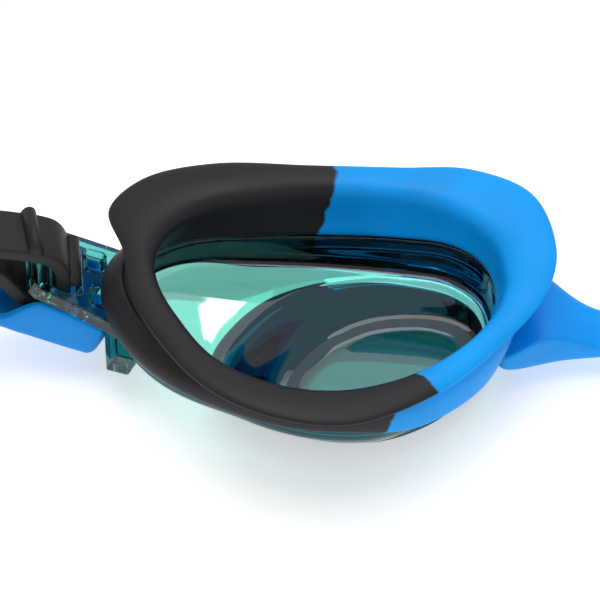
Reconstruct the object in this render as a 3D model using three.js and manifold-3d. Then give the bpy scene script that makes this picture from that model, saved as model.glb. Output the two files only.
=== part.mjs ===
// Swim goggles, lying on their lenses with the head strap laid out behind them.
// Millimetres. +Z is up from the table (towards the wearer), +Y towards the brow, +X towards the wearer's right.
// The left eye is modelled about its own centre and the right eye mirrors it across X = 0.
//
// Each eye is a clear cup (lens, side wall and strap arm in one moulding) with a two-colour silicone seal round
// it. The nose bridge joins the seals, and is split at the line it flexes about. The strap is threaded round the
// two ladder bars of each arm, its tail lies back on it under a keeper, and a channel cover clips under the arm.
import * as THREE from "three";
import { mergeVertices } from "three/addons/utils/BufferGeometryUtils.js";
import Module from "manifold-3d";

const wasm = await Module();
wasm.setup();

// ---- Driving dimensions -------------------------------------------------------------------------------------
const EYE_X = 43.5; // from the middle of the goggles to the centre of an eye cup
const SHIFT_Y = -40.94; // moves the eye centres so that the origin is under the middle of the whole outline
const ROUND = 66; // steps round an eye outline
const GAP = 0.3; // between pieces that touch
const BAND_DROP = 2.6; // from the top of the side wall down to the lower edge of the seal's band

const LENS_WALL = 2; // thickness of the clear moulding
const SIDE_WALL = 1.6; // thickness of the side wall that the seal grips
const FLEX_Z = 5.8; // height of the line that the goggles fold about
const BRIDGE_Y = 5.7; // middle of the nose bridge

// ---- Outlines of the left eye, seen from the wearer's side: x towards the nose, y towards the brow -------------
// They start at the temple and run over the brow to the nose and back along the cheek, all with the same stations.
const WALL = [
  [-28.6, 7.5], [-26.6, 12], [-20.5, 15.9], [-11, 17.5], [0, 18.1], [10, 17.5], [17.4, 15.9], [22, 12], [23.6, 6],
  [22.2, -0.8], [17.2, -7.2], [9.5, -11.8], [0, -13.2], [-9, -11.9], [-17, -8.4], [-23, -3.8], [-27, 1.7],
];
const CREST = [
  [-25.3, 7.5], [-24, 12.5], [-19.5, 17], [-10.5, 19.2], [0, 20], [10, 19.4], [18, 17.2], [23, 12.5], [24.6, 5],
  [22.4, -2], [17.2, -8.7], [9.5, -13.7], [0.5, -15.9], [-8.2, -14.7], [-16.6, -9.9], [-21.9, -2.3], [-24.5, 3.2],
];
const RIM = [
  [-30.2, 9.5], [-32.6, 17.5], [-27.8, 23.3], [-17.5, 25.9], [-3, 25.3], [10, 25.1], [20.5, 25.2], [29.3, 21],
  [32.4, 10.5], [30.3, 1.5], [24, -7.5], [14.6, -16.9], [2.5, -22.8], [-8, -21.7], [-17.5, -16.5], [-25, -7], [-29, 1.5],
];
const STEP = [
  [-15.6, -1.5], [-12.6, 4.5], [-8, 10.2], [-2.5, 13.8], [4, 15.7], [11, 16], [17.3, 14.5], [21.3, 11], [22.7, 5.5],
  [21.2, -0.9], [16.3, -6.9], [9, -11.1], [1, -12.4], [-5, -11.7], [-10, -9.9], [-13.6, -7.5], [-15.5, -4.4],
];
const FLOOR = [
  [-7.2, -0.5], [-5.2, 3.2], [-2, 6.9], [1.6, 9.3], [5.7, 11.2], [11, 12], [16.8, 11.5], [20.6, 9.4], [22, 5],
  [20.5, -0.8], [16, -6.2], [9.5, -9.7], [3.5, -10.8], [-0.5, -10], [-4, -8], [-6.3, -5.6], [-7.3, -3],
];
const OPTICAL_CENTRE = [8, 0.6];

// Heights that follow the wrap of the face: low at the nose, rising towards the temple.
const faceZ = (x) => 6.9 - 0.09 * x + 0.003 * x * x;
const seamZ = (x) => 13.3 - 0.02 * x + 0.002 * x * x;
const rimZ = (x) => 21.9 - 0.0012 * (x + 4) * (x + 4);

// ---- The temple: strap arm, strap loop, keeper and cover, in a frame that leans 5 degrees at the arm's root ----
const ARM_ROOT = new THREE.Vector3(-29, 10.2, 10);
const ARM_LEAN = THREE.MathUtils.degToRad(5); // in plan, so that the strap leaves a little towards the cheek
const ARM_RISE = THREE.MathUtils.degToRad(28); // the arm climbs with the wrap of the face
const STRAP_WIDTH = 7.8;
const STRAP_BACK_WIDTH = 10.8;
const STRAP_THICKNESS = 2.2;
const RIB_RADIUS = 1.2;
const RIB_PLACES = [32.3, 39.9, 47.5]; // along the loop from where the strap leaves the keeper
const BACK_Y = 103.5; // middle of the strap behind the goggles, from the eyes' centres
const KEEPER_WIDTH = 5;
const KEEPER_WALL = 1.3;
const KEEPER_X = -57;
const KEEPER_RISE = THREE.MathUtils.degToRad(7); // the strap still climbs a little where the keeper holds it

// Route of the strap in the temple's side view, [x, z], from where it leaves the keeper, round the bars, to its tail.
const LOOP_ROUTE = [
  [-62, 24], [-57, 23.4], [-53, 22.9], [-50.3, 21.7], [-48.2, 19.6], [-46.6, 16.8], [-44.8, 14], [-42.6, 12.4],
  [-40.6, 12.6], [-39.5, 14.4], [-39.15, 17], [-39.2, 19.6], [-40.2, 22], [-42.4, 23.3], [-45, 24.1], [-48, 24.9],
  [-51, 25.45], [-54, 25.75], [-58, 26.1], [-62, 26.5], [-65.5, 26.9],
];
// Route of the strap's middle line behind the goggles, from the keeper to the middle of the back, in the eye's frame.
const BACK_ROUTE = [
  [-66.5, 7.5, 22.9], [-71.8, 11, 18.2], [-75.3, 19.5, 12.5], [-76, 32, 8.6], [-73.6, 48.5, 6.6], [-63.5, 67, 6],
  [-41, 86, 5.85], [-6, 99, 5.8], [EYE_X, BACK_Y, 5.8],
];

// ---- Small tools ----------------------------------------------------------------------------------------------
const v2 = (p) => new THREE.Vector3(p[0], p[1], 0);

// Points round a closed outline, matched station by station with every other outline.
function outline(points) {
  const curve = new THREE.CatmullRomCurve3(points.map(v2), true, "centripetal");
  return Array.from({ length: ROUND }, (_, i) => curve.getPoint(i / ROUND));
}

// The outline moved outwards by a distance, level by level.
function grow(ring, distance) {
  return ring.map((p, i) => {
    const along = ring[(i + 1) % ROUND].clone().sub(ring[(i + ROUND - 1) % ROUND]).normalize();
    const out = new THREE.Vector3(-along.y, along.x, 0);
    const by = typeof distance === "function" ? distance(p) : distance;
    return p.clone().addScaledVector(out, by);
  });
}

const mix = (a, b, k) => a.map((p, i) => p.clone().lerp(b[i], k));
const lift = (ring, z) => ring.map((p) => new THREE.Vector3(p.x, p.y, typeof z === "function" ? z(p) : z));

// A closed skin over rows of points. Rings run round each row; the rows close on themselves or end in caps.
function skin(rows, closed) {
  const n = rows[0].length;
  const points = rows.flat();
  const faces = [];
  const last = closed ? rows.length : rows.length - 1;
  for (let r = 0; r < last; r++)
    for (let i = 0; i < n; i++) {
      const a = r * n + i;
      const b = r * n + ((i + 1) % n);
      const c = ((r + 1) % rows.length) * n + i;
      const d = ((r + 1) % rows.length) * n + ((i + 1) % n);
      faces.push(a, b, d, a, d, c);
    }
  if (!closed)
    for (const [row, flip] of [[0, true], [rows.length - 1, false]]) {
      const middle = new THREE.Vector3();
      rows[row].forEach((p) => middle.addScaledVector(p, 1 / n));
      const hub = points.push(middle) - 1;
      for (let i = 0; i < n; i++) {
        const a = row * n + i;
        const b = row * n + ((i + 1) % n);
        faces.push(...(flip ? [hub, b, a] : [hub, a, b]));
      }
    }
  const geometry = new THREE.BufferGeometry().setFromPoints(points);
  geometry.setIndex(faces);
  return facingOut(geometry);
}

// Turns a closed skin's faces outwards if they point in.
function facingOut(geometry) {
  const p = geometry.getAttribute("position");
  const index = Array.from(geometry.index.array);
  const corner = (k) => new THREE.Vector3().fromBufferAttribute(p, index[k]);
  let volume = 0;
  for (let k = 0; k < index.length; k += 3)
    volume += corner(k).dot(corner(k + 1).cross(corner(k + 2)));
  if (volume < 0)
    for (let k = 0; k < index.length; k += 3) [index[k + 1], index[k + 2]] = [index[k + 2], index[k + 1]];
  geometry.setIndex(index);
  return geometry;
}

// A closed geometry as a manifold-3d solid, and back.
function solid(geometry) {
  const bare = geometry.clone();
  bare.deleteAttribute("normal");
  bare.deleteAttribute("uv");
  const merged = mergeVertices(bare, 1e-4);
  const triVerts = new Uint32Array(merged.index.array);
  return new wasm.Manifold(
    new wasm.Mesh({ numProp: 3, vertProperties: merged.getAttribute("position").array, triVerts }),
  );
}

function geometryOf(body) {
  const mesh = body.getMesh();
  return new THREE.BufferGeometry()
    .setAttribute("position", new THREE.BufferAttribute(mesh.vertProperties, 3))
    .setIndex(new THREE.BufferAttribute(mesh.triVerts, 1));
}

// A box between two corners.
function box(low, high) {
  const size = high.map((h, i) => h - low[i]);
  const middle = high.map((h, i) => (h + low[i]) / 2);
  return new THREE.BoxGeometry(...size).translate(...middle);
}

// A straight prism from a plan outline with holes.
function prism(shape, low, high) {
  return new THREE.ExtrudeGeometry(shape, { depth: high - low, bevelEnabled: false, curveSegments: 6 }).translate(0, 0, low);
}

function roundedRectangle(x0, y0, x1, y1, r, path = new THREE.Shape()) {
  path.moveTo(x0 + r, y0);
  path.lineTo(x1 - r, y0);
  path.absarc(x1 - r, y0 + r, r, -Math.PI / 2, 0);
  path.lineTo(x1, y1 - r);
  path.absarc(x1 - r, y1 - r, r, 0, Math.PI / 2);
  path.lineTo(x0 + r, y1);
  path.absarc(x0 + r, y1 - r, r, Math.PI / 2, Math.PI);
  path.lineTo(x0, y0 + r);
  path.absarc(x0 + r, y0 + r, r, Math.PI, 1.5 * Math.PI);
  return path;
}

// Points round a rounded rectangle, always the same number, for lofting along x.
function roundedRing(x, y0, z0, y1, z1, r) {
  const corners = [[y1 - r, z0 + r, -1], [y1 - r, z1 - r, 0], [y0 + r, z1 - r, 1], [y0 + r, z0 + r, 2]];
  return corners.flatMap(([y, z, quarter]) =>
    Array.from({ length: 4 }, (_, i) => {
      const angle = (quarter + i / 3) * (Math.PI / 2);
      return new THREE.Vector3(x, y + r * Math.cos(angle), z + r * Math.sin(angle));
    }),
  );
}

// ---- The eye's outlines, ready to loft --------------------------------------------------------------------------
const wall = outline(WALL);
const crest = outline(CREST);
const rim = outline(RIM);
const step = outline(STEP);
const floor = outline(FLOOR);

// Share of a point's place towards the temple, 0 at the middle of the eye and 1 at its end.
const temple = (p) => THREE.MathUtils.smoothstep(-p.x, 10, 30);
const nose = (p) => THREE.MathUtils.smoothstep(p.x, 4, 16);

// The clear moulding widens under the seal's band towards the temple, where the strap arm starts.
const shoulder = (p) => 2.6 * THREE.MathUtils.smoothstep(-p.x, 12, 26);

// ---- Lens: optical step, wrapped face, side wall and strap arm ---------------------------------------------------
function lensCup() {
  const inside = (p) => faceZ(p.x);
  const rows = [
    lift(mix(floor, floor.map(() => v2(OPTICAL_CENTRE)), 0.6), LENS_WALL),
    lift(floor, LENS_WALL),
    lift(mix(floor, step, 0.12), (p) => LENS_WALL + 0.25),
    lift(mix(floor, step, 0.9), (p) => inside(p) - 0.5),
    lift(step, inside),
    lift(grow(wall, -1), (p) => inside(p) + 0.1),
    lift(wall, (p) => inside(p) + 0.9),
    lift(wall, (p) => seamZ(p.x)),
    lift(grow(wall, SIDE_WALL), (p) => seamZ(p.x)),
    lift(grow(wall, SIDE_WALL), (p) => seamZ(p.x) - BAND_DROP - GAP),
    lift(grow(wall, (p) => SIDE_WALL + shoulder(p)), (p) => seamZ(p.x) - BAND_DROP - 0.5),
    lift(grow(wall, (p) => SIDE_WALL + 0.9 * shoulder(p)), (p) => Math.min(inside(p) + 0.6, seamZ(p.x) - 3.9)),
    lift(grow(wall, (p) => 0.4 + 1.2 * shoulder(p)), (p) => inside(p) - 1.5),
    lift(grow(step, (p) => 1.1 - 0.8 * nose(p)), (p) => inside(p) - LENS_WALL),
    lift(grow(mix(floor, step, 0.25), (p) => -0.5 * nose(p)), 0.9),
    lift(grow(floor, (p) => -0.9 - 0.7 * nose(p)), 0),
    lift(mix(floor, floor.map(() => v2(OPTICAL_CENTRE)), 0.6), 0),
  ];
  return solid(skin(rows, false));
}

// Places a piece modelled along the arm: x outwards from the root, y across, z up from its plate.
function alongArm(geometry) {
  return leaning(
    geometry
      .clone()
      .applyMatrix4(new THREE.Matrix4().makeScale(-1, 1, 1))
      .rotateY(ARM_RISE)
      .translate(ARM_ROOT.x, ARM_ROOT.y, ARM_ROOT.z),
    true,
  );
}

// Turns a piece by the arm's lean about the upright through the arm's root.
function leaning(geometry, mirrored = false) {
  const made = geometry
    .clone()
    .translate(-ARM_ROOT.x, -ARM_ROOT.y, 0)
    .rotateZ(ARM_LEAN)
    .translate(ARM_ROOT.x, ARM_ROOT.y, 0);
  if (!mirrored) return made;
  const indexed = made.index ? made : mergeVertices(made);
  return facingOut(indexed);
}

function closedGeometry(geometry) {
  const bare = geometry.clone();
  bare.deleteAttribute("normal");
  bare.deleteAttribute("uv");
  return mergeVertices(bare, 1e-4);
}

// The arm: a ladder plate with two windows at its root and two bars at its end.
function strapArm() {
  const plate = new THREE.Shape();
  plate.moveTo(-2, -10.5);
  plate.lineTo(2.6, -9.2);
  plate.quadraticCurveTo(8, -7.2, 14.2, -5.8);
  plate.quadraticCurveTo(17, -5.2, 17, -3.2);
  plate.lineTo(17, 4.6);
  plate.quadraticCurveTo(17, 7.4, 14, 7.4);
  plate.lineTo(2, 6.6);
  plate.lineTo(-2, 6.2);
  plate.lineTo(-2, -10.5);
  plate.holes.push(roundedRectangle(4.9, 1.4, 8, 5, 0.6, new THREE.Path()));
  plate.holes.push(roundedRectangle(4.5, -5, 7.4, -1.4, 0.6, new THREE.Path()));
  plate.holes.push(roundedRectangle(9.2, -4.5, 13.7, 4.6, 0.8, new THREE.Path()));
  plate.holes.push(roundedRectangle(14.7, -4, 15.6, 4.4, 0.4, new THREE.Path()));
  return solid(alongArm(closedGeometry(prism(plate, -1, 1.2))));
}

function lens() {
  const foot = solid(alongArm(closedGeometry(box([-1.5, -12, -4.4], [3, 5.6, 0]))));
  const inner = solid(skin([lift(grow(wall, 0.8), 2), lift(grow(wall, 0.8), 40)], false));
  return lensCup().add(strapArm().add(foot).subtract(inner));
}

// ---- Seal: a soft ring that grips the side wall and flares out to the face -----------------------------------------
function sealRing() {
  const grip = SIDE_WALL + GAP;
  const rows = [
    lift(grow(wall, -0.1), (p) => seamZ(p.x) + GAP),
    lift(mix(wall, crest, 0.6), (p) => seamZ(p.x) + 3),
    lift(mix(wall, crest, 0.95), (p) => rimZ(p.x) - 2.6),
    lift(mix(crest, rim, 0.14), (p) => rimZ(p.x) - 0.9),
    lift(mix(crest, rim, 0.45), (p) => rimZ(p.x) - 0.1),
    lift(mix(crest, rim, 0.8), (p) => rimZ(p.x)),
    lift(rim, (p) => rimZ(p.x) - 0.5),
    lift(mix(crest, rim, 0.94), (p) => rimZ(p.x) - 1.3),
    lift(mix(crest, rim, 0.6), (p) => rimZ(p.x) - 2),
    lift(grow(wall, (p) => 2.6 - 1.2 * temple(p)), (p) => rimZ(p.x) - 5),
    lift(grow(wall, (p) => 2.7 + 0.2 * temple(p)), (p) => seamZ(p.x) + 1.2),
    lift(grow(wall, (p) => 3.3 + 1.6 * temple(p)), (p) => seamZ(p.x) - 0.6),
    lift(grow(wall, (p) => 3.2 + 1.8 * temple(p)), (p) => seamZ(p.x) - 2.4),
    lift(grow(wall, grip), (p) => seamZ(p.x) - BAND_DROP),
    lift(grow(wall, grip), (p) => seamZ(p.x) + GAP),
  ];
  return solid(skin(rows, true));
}

// The two shots of silicone meet on an upright plane from the cheek to the brow.
function noseSide(offset) {
  return solid(
    box([offset, -60, -5], [90, 60, 40])
      .rotateZ(THREE.MathUtils.degToRad(18))
      .translate(6, 0, 0),
  );
}

// ---- Nose bridge: half of it, from the seal to the flex line ---------------------------------------------------------
function bridgeHalf() {
  // [x, low y, high y, low z, high z] of its section, from inside the seal's grip to the flex line
  const sections = [
    [24, -2, 14, 6.5, 12.6], [27.5, -0.5, 16.4, 4.6, 11.8], [30.5, 1, 16.4, 3.6, 10.4], [33, 1.8, 14.8, 3.4, 9.2],
    [36, 2, 11.6, 3.5, 8.2], [39, 2.1, 9.8, 3.7, 7.7], [EYE_X - 0.4, 2.2, 9.2, 3.9, 7.7],
  ];
  const rows = sections.map(([x, y0, y1, z0, z1]) => roundedRing(x, y0, z0, y1, z1, Math.min(1.4, (z1 - z0) / 2.3)));
  return solid(skin(rows, false));
}

function flexRoller(radius, length, y) {
  return new THREE.CylinderGeometry(radius, radius, length, 24).translate(EYE_X, y, FLEX_Z);
}

// ---- Strap ---------------------------------------------------------------------------------------------------------------
// A flat band along a route: each station has its middle, its width direction and its width.
function band(stations, thickness) {
  const rows = stations.map(({ at, along, across, width }) => {
    const side = across.clone().addScaledVector(along, -across.dot(along)).normalize();
    const face = new THREE.Vector3().crossVectors(side, along).normalize();
    const half = [width / 2, thickness / 2];
    const cut = 0.45;
    const corners = [
      [half[0], -half[1] + cut], [half[0], half[1] - cut], [half[0] - cut, half[1]], [-half[0] + cut, half[1]],
      [-half[0], half[1] - cut], [-half[0], -half[1] + cut], [-half[0] + cut, -half[1]], [half[0] - cut, -half[1]],
    ];
    return corners.map(([w, t]) => at.clone().addScaledVector(side, w).addScaledVector(face, t));
  });
  return skin(rows, false);
}

function loopPoint(x, z) {
  const lean = new THREE.Vector3(x - ARM_ROOT.x, 0, 0).applyAxisAngle(new THREE.Vector3(0, 0, 1), ARM_LEAN);
  return new THREE.Vector3(ARM_ROOT.x + lean.x, ARM_ROOT.y + lean.y, z);
}

const barDirection = new THREE.Vector3(0, 1, 0).applyAxisAngle(new THREE.Vector3(0, 0, 1), ARM_LEAN);

function strapCurve() {
  const back = BACK_ROUTE.map((p) => new THREE.Vector3(...p)).reverse();
  const loop = LOOP_ROUTE.map(([x, z]) => loopPoint(x, z));
  return new THREE.CatmullRomCurve3([...back, ...loop], false, "centripetal");
}

function strapHalf() {
  const curve = strapCurve();
  const pieces = 84;
  const down = new THREE.Vector3(0, 0, -1);
  const stations = Array.from({ length: pieces + 1 }, (_, i) => {
    const t = i / pieces;
    const at = curve.getPointAt(t);
    const along = curve.getTangentAt(t);
    const far = THREE.MathUtils.smoothstep(at.y, 9, 44);
    const across = barDirection.clone().lerp(down, far).normalize();
    const width = STRAP_WIDTH + (STRAP_BACK_WIDTH - STRAP_WIDTH) * THREE.MathUtils.smoothstep(at.y, 20, 60);
    return { at, along, across, width };
  });
  return solid(band(stations, STRAP_THICKNESS));
}

// Ribs across the strap's outer face, which the bars catch on.
function strapRibs() {
  const curve = new THREE.CatmullRomCurve3(LOOP_ROUTE.map(([x, z]) => new THREE.Vector3(x, 0, z)), false, "centripetal");
  const total = curve.getLength();
  return RIB_PLACES.map((distance) => {
    const at = curve.getPointAt(distance / total);
    const along = curve.getTangentAt(distance / total);
    const rib = new THREE.CylinderGeometry(RIB_RADIUS, RIB_RADIUS, STRAP_WIDTH, 12);
    const out = new THREE.Vector3(along.z, 0, -along.x);
    const middle = at.clone().addScaledVector(out, STRAP_THICKNESS / 2 + 0.5);
    const place = loopPoint(middle.x, middle.z);
    return solid(rib.rotateZ(ARM_LEAN).translate(place.x, place.y, place.z));
  });
}

function keeper() {
  const outer = [STRAP_WIDTH / 2 + 0.4 + KEEPER_WALL, 2.9 + KEEPER_WALL];
  const inner = [STRAP_WIDTH / 2 + 0.4, outer[1] - KEEPER_WALL];
  const shape = roundedRectangle(-outer[0], -outer[1], outer[0], outer[1], 1.6);
  shape.holes.push(roundedRectangle(-inner[0], -inner[1], inner[0], inner[1], 0.6, new THREE.Path()));
  const ring = closedGeometry(prism(shape, -KEEPER_WIDTH / 2, KEEPER_WIDTH / 2));
  ring.applyMatrix4(new THREE.Matrix4().makeBasis(
    new THREE.Vector3(0, 1, 0), new THREE.Vector3(0, 0, 1), new THREE.Vector3(1, 0, 0)));
  const middle = loopPoint(KEEPER_X, 24.64);
  return solid(ring.rotateY(KEEPER_RISE).rotateZ(ARM_LEAN).translate(middle.x, middle.y, middle.z));
}

// ---- Cover: a channel clipped under the arm, its walls falling away towards a flat tongue ----------------------------------
function cover() {
  // [x, near y, far y, floor z, wall top z] along the arm
  const sections = [
    [3.9, -7.9, 5.6, -6.6, -2.2], [4.9, -8.2, 6.4, -7.2, -1.4], [8.5, -7.4, 7, -7.9, -1.4], [14.4, -6.2, 7.2, -8.7, -1.4],
    [16.6, -5.8, 7.1, -9, -4], [18.4, -5.5, 6.9, -9, -7.3], [22, -5.2, 6.2, -8.6, -7.2], [26, -4.6, 5, -8.1, -6.9],
    [28, -2.6, 2.9, -7.8, -7],
  ];
  const lay = (inset, lowest, highest) =>
    sections.slice(inset ? 1 : 0, inset ? -2 : undefined).map(([x, y0, y1, z0, z1]) => {
      const [low, high] = [lowest(z0), highest(z0, z1)];
      return roundedRing(x, y0 + inset, low, y1 - inset, high, Math.min(1.1, (high - low) / 2.2));
    });
  const body = solid(alongArm(skin(lay(0, (z0) => z0, (z0, z1) => z1), false)));
  const hollow = solid(alongArm(skin(lay(1.3, (z0) => z0 + 1.2, () => 3), false)));
  return body.subtract(hollow);
}

// ---- Assembly -----------------------------------------------------------------------------------------------------------------
const finish = (color, roughness, extra = {}) => new THREE.MeshStandardMaterial({ color, roughness, metalness: 0, ...extra });
const clearGreen = finish(0x1f9a86, 0.06, { transparent: true, opacity: 0.5 });
const black = finish(0x2b2b2e, 0.6);
const blue = finish(0x0093e0, 0.5);

const lensBody = lens();
const ring = sealRing().subtract(lensBody);
const halfStrap = strapHalf();
const strapWithRibs = strapRibs().reduce((whole, rib) => whole.add(rib), halfStrap);
const beyondBack = box([EYE_X, 60, -10], [EYE_X + 40, 130, 60]);
const wholeBridge = bridgeHalf().subtract(sealRing()).subtract(lensBody);

// Half of a piece that meets its twin on the flex line: one end is a roller, and the other a hollow round it.
function flexEnd(body, y, length, radius, hollow) {
  const roller = flexRoller(radius + (hollow ? GAP : 0), length + (hollow ? 8 : 0), y);
  return hollow ? body.subtract(solid(roller)) : body.add(solid(roller));
}

const leftPieces = {
  lens: [lensBody, clearGreen],
  seal_outer: [ring.subtract(noseSide(-GAP)), black],
  seal_nose: [ring.intersect(noseSide(0)), blue],
  temple_cover: [cover().subtract(lensBody), blue],
  strap_keeper: [keeper(), black],
};

const goggles = new THREE.Group();
goggles.name = "swim_goggles";

function place(side, name, body, material) {
  const mesh = new THREE.Mesh(geometryOf(body), material);
  mesh.name = name;
  const holder = new THREE.Group();
  holder.scale.x = side;
  mesh.position.set(-EYE_X, SHIFT_Y, 0);
  holder.add(mesh);
  goggles.add(holder);
}

for (const [side, word] of [[1, "left"], [-1, "right"]]) {
  for (const [name, [body, material]] of Object.entries(leftPieces)) place(side, `${name}_${word}`, body, material);
  const hollow = side === 1;
  place(side, `nose_bridge_${word}`, flexEnd(wholeBridge, BRIDGE_Y, 9, 1.9, hollow), blue);
  place(side, `strap_${word}`, flexEnd(strapWithRibs.subtract(solid(beyondBack)), BACK_Y, STRAP_THICKNESS + 0.6, 5.6, hollow), black);
}

export default goggles;
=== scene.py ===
"""Swim goggles lying on their lenses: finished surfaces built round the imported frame."""

import logging
import math
from collections.abc import Callable, Sequence
from dataclasses import dataclass, field
from enum import Enum, IntEnum

import bmesh
import bpy
from mathutils import Euler, Matrix, Vector


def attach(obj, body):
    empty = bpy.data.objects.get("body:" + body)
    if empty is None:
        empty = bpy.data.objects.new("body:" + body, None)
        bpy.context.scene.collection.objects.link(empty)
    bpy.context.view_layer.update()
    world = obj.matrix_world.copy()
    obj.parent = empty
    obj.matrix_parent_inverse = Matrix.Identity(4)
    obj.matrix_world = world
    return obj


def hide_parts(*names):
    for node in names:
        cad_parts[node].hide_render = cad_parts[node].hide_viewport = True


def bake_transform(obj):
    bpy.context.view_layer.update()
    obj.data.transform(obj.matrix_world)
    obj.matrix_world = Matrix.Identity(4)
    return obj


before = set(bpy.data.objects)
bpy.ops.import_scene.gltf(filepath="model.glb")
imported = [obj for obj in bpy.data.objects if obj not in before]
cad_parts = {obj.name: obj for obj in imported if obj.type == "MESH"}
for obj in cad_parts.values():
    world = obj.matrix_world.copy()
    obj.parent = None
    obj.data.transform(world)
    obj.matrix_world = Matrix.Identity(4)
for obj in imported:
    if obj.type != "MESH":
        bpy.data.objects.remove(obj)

logging.basicConfig(level=logging.INFO, format="%(message)s")
log = logging.getLogger("goggles")

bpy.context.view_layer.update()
MM = 0.001
EYE_X = 43.5  # from the middle of the goggles to an eye's centre, in millimetres
EYE_Y = -40.94
ANY_SIDES = 0  # lets a hole be filled whatever its number of sides

Height = float | Callable[[Vector], float]
Color = tuple[float, float, float]
Socket = bpy.types.NodeSocket


class Side(Enum):
    """The wearer's side of the goggles, with the factor that mirrors a left shape to it."""

    LEFT = 1
    RIGHT = -1

    @property
    def word(self) -> str:
        """The side's name, as it ends a piece's name."""
        return self.name.lower()

    @property
    def body(self) -> str:
        """The moving body that the side's pieces ride on."""
        return f"{self.word}_side"


# ---- Outlines and lofts --------------------------------------------------------------------------


def smoothstep(x: float, low: float, high: float) -> float:
    """A value that eases from 0 at low to 1 at high."""
    t = min(max((x - low) / (high - low), 0.0), 1.0)
    return t * t * (3 - 2 * t)


def spline_point(p0: Vector, p1: Vector, p2: Vector, p3: Vector, t: float) -> Vector:
    """A point of a smooth curve between its second and third guide points.

    Args:
        p0: The guide point before the stretch.
        p1: The guide point where the stretch starts.
        p2: The guide point where it ends.
        p3: The guide point after it.
        t: The share of the stretch, from 0 to 1.

    Returns:
        The point of a centripetal Catmull-Rom curve.
    """
    d0, d1, d2 = (max((b - a).length ** 0.5, 1e-6) for a, b in ((p0, p1), (p1, p2), (p2, p3)))
    leave = ((p1 - p0) / d0 - (p2 - p0) / (d0 + d1) + (p2 - p1) / d1) * d1
    arrive = ((p2 - p1) / d1 - (p3 - p1) / (d1 + d2) + (p3 - p2) / d2) * d1
    square = 3 * (p2 - p1) - 2 * leave - arrive
    cube = 2 * (p1 - p2) + leave + arrive
    return p1 + leave * t + square * t**2 + cube * t**3


def ring_of(points: Sequence[tuple[float, float]], count: int) -> list[Vector]:
    """Evenly shared points round a smooth closed outline.

    Args:
        points: Guide points in plan, in millimetres.
        count: How many points the ring gets.

    Returns:
        The ring's points, at height 0.
    """
    guide = [Vector((x, y, 0)) for x, y in points]
    n = len(guide)
    made = []
    for i in range(count):
        at = i / count * n
        k = int(at)
        made.append(spline_point(guide[k - 1], guide[k], guide[(k + 1) % n], guide[(k + 2) % n], at - k))
    return made


def curve_of(points: Sequence[Vector], per_stretch: int) -> list[Vector]:
    """Points along a smooth open curve through its guide points.

    Args:
        points: The guide points.
        per_stretch: How many steps each stretch is cut into.

    Returns:
        The curve's points, with both ends.
    """
    first, last = points[0] * 2 - points[1], points[-1] * 2 - points[-2]
    guide = [first, *points, last]
    made = [
        spline_point(*guide[k : k + 4], i / per_stretch)
        for k in range(len(points) - 1)
        for i in range(per_stretch)
    ]
    return [*made, points[-1].copy()]


def grow(ring: Sequence[Vector], by: Height) -> list[Vector]:
    """The ring moved outwards in plan.

    Args:
        ring: The ring to start from.
        by: A distance in millimetres, or a function that gives it for each point.

    Returns:
        The moved ring.
    """
    n = len(ring)
    made = []
    for i, p in enumerate(ring):
        along = (ring[(i + 1) % n] - ring[i - 1]).to_2d().normalized()
        out = Vector((-along.y, along.x, 0))
        made.append(p + out * (by(p) if callable(by) else by))
    return made


def mix(a: Sequence[Vector], b: Sequence[Vector], share: float) -> list[Vector]:
    """A ring between two rings."""
    return [p.lerp(q, share) for p, q in zip(a, b)]


def lift(ring: Sequence[Vector], height: Height) -> list[Vector]:
    """The ring at a height, or with a height for each point."""
    return [Vector((p.x, p.y, height(p) if callable(height) else height)) for p in ring]


def drop(height: Callable[[Vector], float], by: float) -> Callable[[Vector], float]:
    """A height that lies under another one by a distance."""
    return lambda p: height(p) - by


def add_ring(bm: bmesh.types.BMesh, ring: Sequence[Vector]) -> list[bmesh.types.BMEdge]:
    """Adds a closed ring of edges, in millimetres.

    Args:
        bm: The mesh that gets the ring.
        ring: The ring's points.

    Returns:
        The ring's edges.
    """
    verts = [bm.verts.new(p) for p in ring]
    return [bm.edges.new((verts[i - 1], verts[i])) for i in range(len(verts))]


def loft(rows: Sequence[Sequence[Vector]], closed: bool) -> bmesh.types.BMesh:
    """Bridges rings into one closed skin.

    Args:
        rows: The rings in order, all with the same number of points.
        closed: True joins the last ring to the first, and False caps both ends.

    Returns:
        The mesh, with its faces outwards.
    """
    bm = bmesh.new()
    loops = [add_ring(bm, row) for row in rows]
    pairs = list(zip(loops, loops[1:]))
    if closed:
        pairs.append((loops[-1], loops[0]))
    for one, other in pairs:
        bmesh.ops.bridge_loops(bm, edges=one + other)
    if not closed:
        bmesh.ops.holes_fill(bm, edges=loops[0] + loops[-1], sides=ANY_SIDES)
    bmesh.ops.recalc_face_normals(bm, faces=bm.faces)
    return bm


def round_section(
    x: float, y0: float, y1: float, z0: float, z1: float, r: float, steps: int = 4
) -> list[Vector]:
    """A rounded rectangle across the x axis.

    Args:
        x: Where the section is.
        y0: Its lowest y.
        y1: Its highest y.
        z0: Its lowest z.
        z1: Its highest z.
        r: The corners' radius.
        steps: How many steps each corner has.

    Returns:
        The section's points.
    """
    corners = ((y1 - r, z0 + r, -1), (y1 - r, z1 - r, 0), (y0 + r, z1 - r, 1), (y0 + r, z0 + r, 2))
    return [
        Vector((x, y + r * math.cos(turn), z + r * math.sin(turn)))
        for y, z, quarter in corners
        for turn in (math.pi / 2 * (quarter + i / steps) for i in range(steps + 1))
    ]


def new_object(name: str, data: bpy.types.ID) -> bpy.types.Object:
    """Adds an object to the scene.

    Args:
        name: The object's name.
        data: Its mesh, curve, camera or lamp.

    Returns:
        The object.
    """
    made = bpy.data.objects.new(name, data)
    bpy.context.scene.collection.objects.link(made)
    return made


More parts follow.
